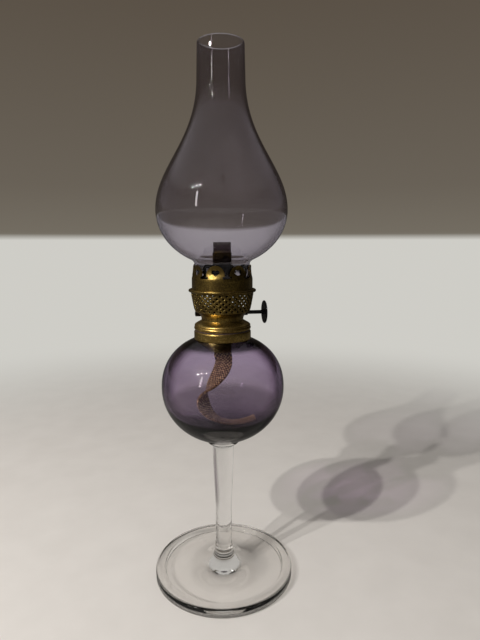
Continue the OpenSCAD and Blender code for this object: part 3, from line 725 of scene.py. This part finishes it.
flare = turned("basket_flare", flare_line + [(TURN_R, turn_z + 0.5 * mm), (TURN_R - SHEET, turn_z + 0.5 * mm)]
               + [(r - SHEET, z) for r, z in flare_line[::-1]])
dress(flare, old_brass, "burner", "brass")

# %% [markdown]
# The crown is a plain band whose upper edge is cut into leaves that grip the
# chimney. Each leaf is dished a little and has a heart-shaped hole. The band is
# turned first, the leaves are pressed in by moving its points, and the gaps and
# hearts are then cut out with a boolean, as a press tool does.

# %% Crown of leaves
LEAVES = 8
LEAF_TURN = math.radians(-21)
BAND_R = 21.25 * mm
LEAF_TIP_R = 20.1 * mm
LEAF_HIGH = 9.0 * mm
LEAF_GAP = 3.4 * mm
GAP_FOOT_WIDE = 6.6 * mm
GAP_FOOT_HIGH = 1.7 * mm
HEART_WIDE = 5.6 * mm
HEART_HIGH = 4.2 * mm
HEART_Z = 1.8 * mm
leaf_z = crown_top - LEAF_HIGH
leaf_pitch = 2 * math.pi / LEAVES
half_pitch_reach = BAND_R * math.sin(leaf_pitch / 2)
LEAF_R = half_pitch_reach - LEAF_GAP / 2


def crown_shell():
    wall = [(BAND_R, ring_top + (leaf_z - 1 * mm - ring_top) * i / 8) for i in range(8)]
    wall += curve((BAND_R, leaf_z - 1 * mm), (BAND_R - 0.3 * mm, leaf_z + 2 * mm),
                  (LEAF_TIP_R, leaf_z + 3 * mm), (LEAF_TIP_R, crown_top), 26)
    bm = bmesh.new()
    turn_section(bm, wall + [(r - SHEET, z) for r, z in wall[::-1]], steps=320)
    for vert in bm.verts:
        up = (vert.co.z - leaf_z) / LEAF_HIGH
        if up <= 0:
            continue
        angle = (math.atan2(vert.co.x, -vert.co.y) - LEAF_TURN) / leaf_pitch
        off = (angle - round(angle)) * leaf_pitch * BAND_R / LEAF_R
        rise = (vert.co.z - (crown_top - LEAF_R)) / LEAF_R
        away = min(math.hypot(off, rise), 1.0) if vert.co.z > crown_top - LEAF_R else min(abs(off), 1.0)
        press = 0.55 * mm * min(up * 3, 1) * (1 - away ** 3) - 0.15 * mm * min(up * 3, 1)
        scale = 1 - press / math.hypot(vert.co.x, vert.co.y)
        vert.co.x *= scale
        vert.co.y *= scale
    return bm


def add_prism(bm, outline, angle):
    face = bm.faces.new([bm.verts.new((x, -10 * mm, z)) for x, z in outline])
    pushed = bmesh.ops.extrude_face_region(bm, geom=[face])["geom"]
    moved = [v for v in pushed if isinstance(v, bmesh.types.BMVert)]
    bmesh.ops.translate(bm, verts=moved, vec=(0, -20 * mm, 0))
    corners = list({v for f in bm.faces for v in f.verts if not v.tag})
    bmesh.ops.rotate(bm, verts=corners, cent=(0, 0, 0), matrix=Matrix.Rotation(angle, 3, "Z"))
    for v in corners:
        v.tag = True


def gap_outline():
    lobe = GAP_FOOT_HIGH / 2
    side = half_pitch_reach
    straight_top = crown_top - LEAF_R
    right = arc((GAP_FOOT_WIDE / 2 - lobe, leaf_z + lobe), lobe, -90, 90, 8)
    right += [(side - LEAF_R, leaf_z + 2 * lobe), (side - LEAF_R, straight_top)]
    right += arc((side, straight_top), LEAF_R, 180, 92, 14)[1:]
    right.append((side - 0.2 * mm, crown_top + 2 * mm))
    return right + [(-x, z) for x, z in right[::-1]]


def heart_outline():
    lobe = HEART_WIDE * 0.27
    lobe_x = HEART_WIDE / 2 - lobe
    lobe_z = leaf_z + HEART_Z + HEART_HIGH - lobe
    right = [(0.0, leaf_z + HEART_Z)]
    right += arc((lobe_x, lobe_z), lobe, -30, 150, 14)
    cleft = (0.0, lobe_z + lobe * 0.35)
    return right + [cleft] + [(-x, z) for x, z in right[:0:-1]]


def cut_with(piece, cutter):
    knife = piece.modifiers.new("press_tool", "BOOLEAN")
    knife.operation = "DIFFERENCE"
    knife.solver = "MANIFOLD"
    knife.object = cutter
    seen = piece.evaluated_get(bpy.context.evaluated_depsgraph_get())
    cut = bpy.data.meshes.new_from_object(seen)
    piece.modifiers.clear()
    piece.data = cut
    bpy.data.objects.remove(cutter)
    cut.polygons.foreach_set("use_smooth", [True] * len(cut.polygons))
    cut.set_sharp_from_angle(angle=math.radians(30))


press_tool = bmesh.new()
for leaf in range(LEAVES):
    add_prism(press_tool, gap_outline(), LEAF_TURN + (leaf + 0.5) * leaf_pitch)
    add_prism(press_tool, heart_outline(), LEAF_TURN + leaf * leaf_pitch)
bmesh.ops.recalc_face_normals(press_tool, faces=press_tool.faces)
crown = new_piece("leaf_crown", crown_shell(), smooth_deg=30)
cut_with(crown, new_piece("press_tool", press_tool))
dress(crown, old_brass, "burner", "brass", "gallery_crown")
print("faces of the crown:", len(crown.data.polygons))

# %% [markdown]
# The knob is a thin round disc with a raised rim, on a hub that is closed over the
# end of the spindle. It is turned upright and then laid on the spindle's line.

# %% Spindle and knob
knob_low, knob_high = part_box("knob_disc")
knob_middle = (knob_low + knob_high) / 2
KNOB_R = (knob_high.z - knob_low.z) / 2
KNOB_THICK = knob_high.x - knob_low.x
hub_low, hub_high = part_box("knob_hub")
HUB_R = (hub_high.z - hub_low.z) / 2
spindle_low, spindle_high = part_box("spindle")


def laid(name, section, middle, smooth_deg=35):
    bm = bmesh.new()
    turn_section(bm, section, steps=64)
    bmesh.ops.rotate(bm, verts=bm.verts, cent=(0, 0, 0), matrix=Matrix.Rotation(math.pi / 2, 3, "Y"))
    bmesh.ops.translate(bm, verts=bm.verts, vec=middle)
    return new_piece(name, bm, smooth_deg)


def knob_section():
    half = KNOB_THICK / 2
    web = 0.35 * mm
    rim = 1.1 * mm
    points = [(HUB_R, -web)]
    points += curve((KNOB_R - rim - 1.6 * mm, -web), (KNOB_R - rim - 0.7 * mm, -web),
                    (KNOB_R - rim - 0.5 * mm, -half), (KNOB_R - half, -half), 8)
    points += arc((KNOB_R - half, 0), half, -90, 90, 10)
    points += [(x, -z) for x, z in curve((KNOB_R - rim - 1.6 * mm, -web), (KNOB_R - rim - 0.7 * mm, -web),
                                         (KNOB_R - rim - 0.5 * mm, -half), (KNOB_R - half, -half), 8)[::-1]]
    points += [(HUB_R, web)]
    return points


def hub_section():
    long = hub_high.x - hub_low.x
    cap = 0.6 * mm
    points = [(0.0, 0.0)] + arc((HUB_R - 0.3 * mm, 0.3 * mm), 0.3 * mm, -90, 0, 4)
    points += arc((HUB_R - cap, long - cap), cap, 0, 90, 6) + [(0.0, long)]
    return points


knob = laid("knob_wheel", knob_section(), knob_middle)
dress(knob, black_steel, "winder", "black_steel", "knob_disc")
hub = laid("knob_hub_cap", hub_section(), (hub_low.x, knob_middle.y, knob_middle.z))
dress(hub, black_steel, "winder", "black_steel", "knob_hub")
print("knob across in mm:", round(2 * KNOB_R / mm, 1))

# %% [markdown]
# The wick is one long strip of webbing. Its straight part slides in the tube, and
# its tail twists a quarter turn and lies down in the fuel. A flat grid becomes the
# strip: its rows follow a smooth line through the places below, which give the
# middle of the strip and the turn of its flat side.

# %% Wick
wick_low = low_of("wick")
wick_top = high_of("wick")
WICK_WIDE = 2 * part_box("wick")[1].x
WICK_THICK = 2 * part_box("wick")[1].y
font_floor = globe_low + GLOBE_FLOOR
TAIL = [
    (0, 0, 54, 0), (0.6, 0, 51.5, -8), (0.5, 0, 46.8, -20), (-1.4, -0.2, 42, -33), (-4.6, -0.6, 37.1, -50),
    (-8.3, -1, 32.4, -72), (-11.6, -1.6, 28.4, -102), (-13.9, -2.2, 24.8, -122), (-14.8, -2.8, 20.8, -135),
    (-13.6, -3.4, 16.8, -132), (-10.8, -4, 12.6, -124), (-6.6, -4.4, 8.6, -110), (-1.2, -4.7, 5.2, -98),
    (5, -4.9, 3.2, -92), (11.4, -5.1, 2.9, -90), (17.6, -5.5, 4.3, -90), (23, -6, 6.8, -90)]


def wick_rows():
    rows = [(0, 0, z, 0) for z in (wick_top + 3 * mm, wick_top)]
    count = 12
    rows += [(0, 0, wick_top + (wick_low - wick_top) * i / count, 0) for i in range(1, count + 1)]
    rows += [(x * mm, y * mm, font_floor + z * mm, turn) for x, y, z, turn in TAIL]
    rows.append(tuple(2 * a - b for a, b in zip(rows[-1], rows[-2])))
    smooth = []
    for a, b, c, d in zip(rows, rows[1:], rows[2:], rows[3:]):
        for step in range(6):
            t = step / 6
            smooth.append(tuple(q + (r - p) * t / 2 + (2 * p - 5 * q + 4 * r - s) * t * t / 2
                                + (3 * q - p - 3 * r + s) * t ** 3 / 2 for p, q, r, s in zip(a, b, c, d)))
    smooth.append(rows[-2])
    return smooth


route = wick_rows()
WICK_COLUMNS = 24


def wick_strip():
    bm = bmesh.new()
    bmesh.ops.create_grid(bm, x_segments=WICK_COLUMNS, y_segments=len(route) - 1, size=0.5)
    weave = bm.loops.layers.uv.new("weave")
    lengths = [0.0]
    for a, b in zip(route, route[1:]):
        lengths.append(lengths[-1] + (Vector(b[:3]) - Vector(a[:3])).length)
    spot = {}
    for vert in bm.verts:
        row = round((vert.co.y + 0.5) * (len(route) - 1))
        across = vert.co.x
        x, y, z, turn = route[row]
        ahead = Vector(route[min(row + 1, len(route) - 1)][:3])
        behind = Vector(route[max(row - 1, 0)][:3])
        along = (ahead - behind).normalized()
        side = Vector((math.cos(math.radians(turn)), math.sin(math.radians(turn)), 0))
        side = (side - side.dot(along) * along).normalized()
        spot[vert] = (across * WICK_WIDE / mm, lengths[row] / mm)
        vert.co = Vector((x, y, z)) + side * across * (WICK_WIDE - 0.2 * mm)
    for face in bm.faces:
        for loop in face.loops:
            loop[weave].uv = spot[loop.vert]
    bmesh.ops.recalc_face_normals(bm, faces=bm.faces)
    return bm


wick = new_piece("woven_wick", wick_strip(), smooth_deg=80)
body_of_wick = wick.modifiers.new("cotton", "SOLIDIFY")
body_of_wick.thickness = WICK_THICK - 0.2 * mm
body_of_wick.offset = 0
wick.data.materials.append(cotton)
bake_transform(wick)
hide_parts("wick", "wick_tail")

# %% [markdown]
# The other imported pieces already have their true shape, so they keep it and only
# get their finish.

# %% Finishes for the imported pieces
kept = {
    "collar_cement": plaster, "burner_gasket": washer_leather, "base_floor": dull_brass,
    "diffuser": dull_brass, "wick_tube": dull_brass, "sprocket_box": dull_brass,
    "spindle_gland": dull_brass, "spindle_end_bush": dull_brass, "spindle": black_steel,
    "wick_sprockets": bare_steel}
for node, material in kept.items():
    packed = nodes[node]
    packed.data.materials.clear()
    packed.data.materials.append(material)

# %% [markdown]
# The studio: a pale floor that melts into a pale wall, and above eye level the
# wall's shaded part, which the glass of the chimney turns upside down. Polished
# metal and glass mirror the side of a room that the camera never sees, and a dark
# one gives them their depth, so the room and the floor are darker for mirrored
# rays. The plain colour transform keeps the strong contrast of the photograph.

# %% Room and floor
WALL_LOW = (0.62, 0.61, 0.57)
FADE_START = 0.22
FADE_END = 0.95


def mirrored_ray(material):
    path = add_node(material, "ShaderNodeLightPath")
    values = {0: path.outputs["Is Glossy Ray"], 1: path.outputs["Is Transmission Ray"]}
    return add_node(material, "ShaderNodeMath", values, operation="SUBTRACT", use_clamp=True).outputs[0]


def share_of_mirrored(material, plain, mirrored):
    return spread(material, mirrored_ray(material), plain, mirrored)


def floor_finish():
    material = new_finish("pale_floor")
    place = own_place(material)
    grain = noise(material, place, 30.0, 4.0)
    pale = colour_ramp(material, grain, [(0.3, (0.75, 0.72, 0.69)), (0.7, (0.79, 0.76, 0.73))])
    seen = add_node(material, "ShaderNodeVectorMath", {0: pale}, operation="SCALE")
    material.node_tree.links.new(share_of_mirrored(material, 1.0, 0.3), seen.inputs["Scale"])
    near = add_node(material, "ShaderNodeBsdfPrincipled", {"Base Color": seen.outputs[0], "Roughness": 0.55})
    far = add_node(material, "ShaderNodeEmission", {
        "Color": (*WALL_LOW, 1), "Strength": share_of_mirrored(material, 1.0, 0.1)})
    distance = add_node(material, "ShaderNodeVectorMath", {0: place}, operation="LENGTH").outputs["Value"]
    fade = add_node(material, "ShaderNodeMapRange", {
        "Value": distance, "From Min": FADE_START, "From Max": FADE_END}, interpolation_type="SMOOTHERSTEP")
    mixed = add_node(material, "ShaderNodeMixShader", {"Fac": fade.outputs["Result"]})
    material.node_tree.links.new(near.outputs[0], mixed.inputs[1])
    material.node_tree.links.new(far.outputs[0], mixed.inputs[2])
    return finish_off(material, mixed.outputs[0])


bm = bmesh.new()
bmesh.ops.create_circle(bm, cap_ends=True, segments=96, radius=30.0)
floor = new_piece("floor", bm)
floor.data.materials.append(floor_finish())

world = bpy.data.worlds.new("plain_room")
bpy.context.scene.world = world
world.use_nodes = True
room = world.node_tree.nodes["Background"]
direction = add_node(world, "ShaderNodeTexCoord").outputs["Generated"]
height = add_node(world, "ShaderNodeSeparateXYZ", {"Vector": direction}).outputs["Z"]
wall_tone = colour_ramp(world, height, [
    (0.0, WALL_LOW), (0.012, (0.17, 0.15, 0.12)), (0.1, (0.14, 0.12, 0.095)), (0.42, (0.1, 0.08, 0.06)),
    (0.55, (0.5, 0.48, 0.45)), (1.0, (0.6, 0.58, 0.55))])
world.node_tree.links.new(wall_tone, room.inputs["Color"])
BRIGHT_AZIMUTH = math.radians(-125)
bright_side = Vector((math.sin(BRIGHT_AZIMUTH), -math.cos(BRIGHT_AZIMUTH), 0.15)).normalized()
toward_bright = add_node(world, "ShaderNodeVectorMath", {0: direction, 1: tuple(bright_side)},
                         operation="DOT_PRODUCT")
mirrored = add_node(world, "ShaderNodeMapRange", {
    "Value": toward_bright.outputs["Value"], "From Min": -0.5, "From Max": 1.0, "To Min": 0.05,
    "To Max": 0.45})
fill = add_node(world, "ShaderNodeLightPath").outputs["Is Diffuse Ray"]
strength = add_node(world, "ShaderNodeMix", {
    "Factor": mirrored_ray(world), 2: spread(world, fill, 1.0, 0.35)})
world.node_tree.links.new(mirrored.outputs["Result"], strength.inputs[3])
world.node_tree.links.new(strength.outputs[0], room.inputs["Strength"])
bpy.context.scene.view_settings.view_transform = "Standard"

# %% [markdown]
# Three small lamps at the front left stand where their shadows on the table say,
# and show as three dots on the glass. A narrow strip gives the long gleam on the
# chimney's neck. A wide lamp overhead lifts the shadows, and mirrored and bent rays
# don't see it.

# %% Lamps
KEY_LAMPS = ((-62, 33), (-56, 36.5), (-48, 40))
LAMP_AWAY = 1.3


def soft_lamp(name, azimuth, elevation, away, wide, high, power, colour=(1.0, 0.97, 0.93), mirrored=True):
    data = bpy.data.lights.new(name, "AREA")
    data.shape = "RECTANGLE"
    data.size = wide
    data.size_y = high
    data.energy = power
    data.color = colour
    lamp = bpy.data.objects.new(name, data)
    side = math.radians(azimuth)
    up = math.radians(elevation)
    toward = Vector((math.cos(up) * math.sin(side), -math.cos(up) * math.cos(side), math.sin(up)))
    lamp.location = Vector((0, 0, 0.2)) + toward * away
    lamp.rotation_euler = (-toward).to_track_quat("-Z", "Y").to_euler()
    lamp.visible_glossy = mirrored
    lamp.visible_transmission = mirrored
    bpy.context.scene.collection.objects.link(lamp)
    return lamp


for number, (azimuth, elevation) in enumerate(KEY_LAMPS):
    soft_lamp("key_lamp_%d" % number, azimuth, elevation, LAMP_AWAY, 0.025, 0.025, 6.0)
soft_lamp("strip_lamp", -51, 19, LAMP_AWAY, 0.06, 0.5, 0.8)
soft_lamp("roof_lamp", 170, 75, 1.9, 2.4, 2.4, 4.0, mirrored=False)

# %% [markdown]
# The camera stands where the photographer stood: a hand's height above the lamp's
# middle, a little to the left of the front, close enough for the foot to be seen
# from above while the chimney's mouth is seen almost level.

# %% Camera
FOCAL_PIXELS = 495.2
PICTURE_TALL = 640
CAMERA_AWAY = 346.6 * mm
CAMERA_HIGH = 250.5 * mm
CAMERA_ROUND = math.radians(-8.0)
PITCH_DOWN = math.radians(9.17)
YAW_RIGHT = math.radians(2.05)
ROLL = math.radians(-0.05)

camera = bpy.data.objects.new("camera", bpy.data.cameras.new("camera"))
camera.data.sensor_width = 36.0
camera.data.lens = FOCAL_PIXELS * camera.data.sensor_width / PICTURE_TALL
camera.data.clip_start = 0.01
camera.data.clip_end = 100.0
camera.location = (CAMERA_AWAY * math.sin(CAMERA_ROUND), -CAMERA_AWAY * math.cos(CAMERA_ROUND), CAMERA_HIGH)
turn = Matrix.Rotation(CAMERA_ROUND - YAW_RIGHT, 3, "Z")
tilt = Matrix.Rotation(math.pi / 2 - PITCH_DOWN, 3, "X")
camera.rotation_euler = (turn @ tilt @ Matrix.Rotation(ROLL, 3, "Z")).to_euler()
bpy.context.scene.collection.objects.link(camera)
bpy.context.scene.camera = camera
